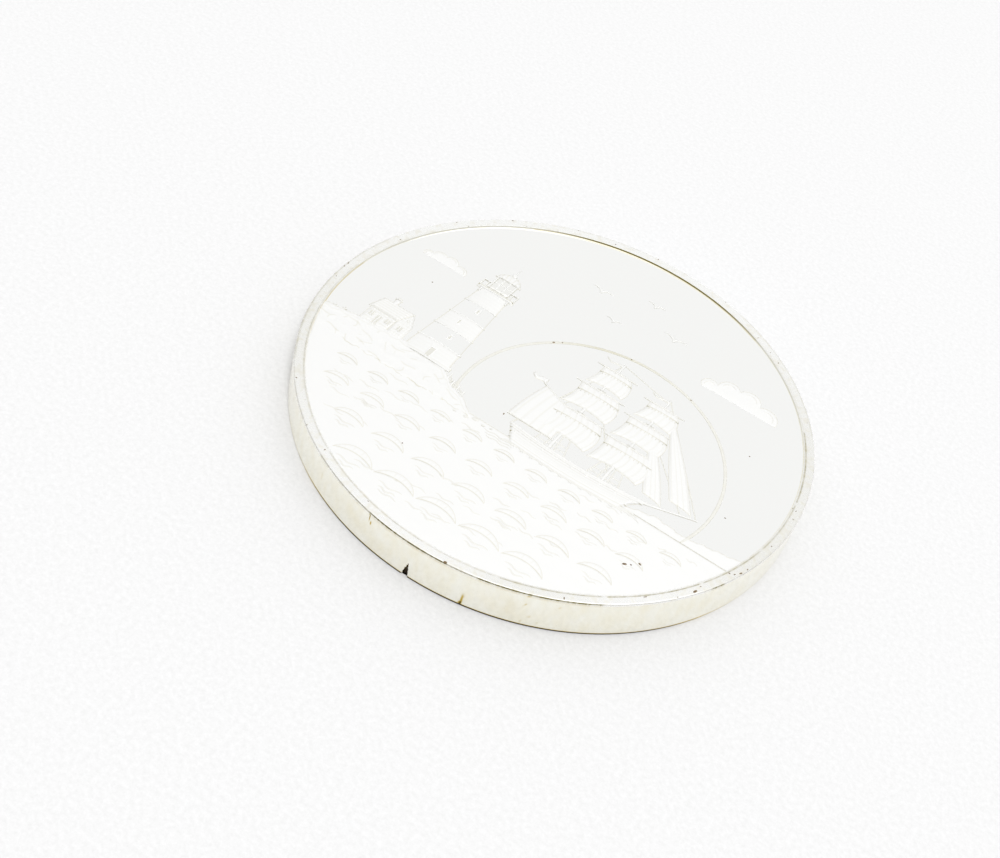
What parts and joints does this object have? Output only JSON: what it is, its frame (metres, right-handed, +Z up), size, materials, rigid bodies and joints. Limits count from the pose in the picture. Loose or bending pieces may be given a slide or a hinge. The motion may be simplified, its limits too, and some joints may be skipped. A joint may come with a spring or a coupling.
{
  "type": "commemorative medal",
  "caption": "Round struck silver medal with a raised rim, a coast scene in frosted relief on a mirror field and a plain reverse, for display, a capsule or a bezel.",
  "frame": {"origin": "centre of the underside, on the plane that the reverse rim rests on", "axes": "+Z up through the thickness towards the obverse, +Y towards the top of the obverse picture"},
  "size_m": [0.039, 0.039, 0.0033],
  "materials": {
    "silver": "struck sterling silver: mirror field, frosted relief, lightly toned plain edge"
  },
  "bodies": {
    "root": {"medal": "silver"}
  },
  "joints": []
}
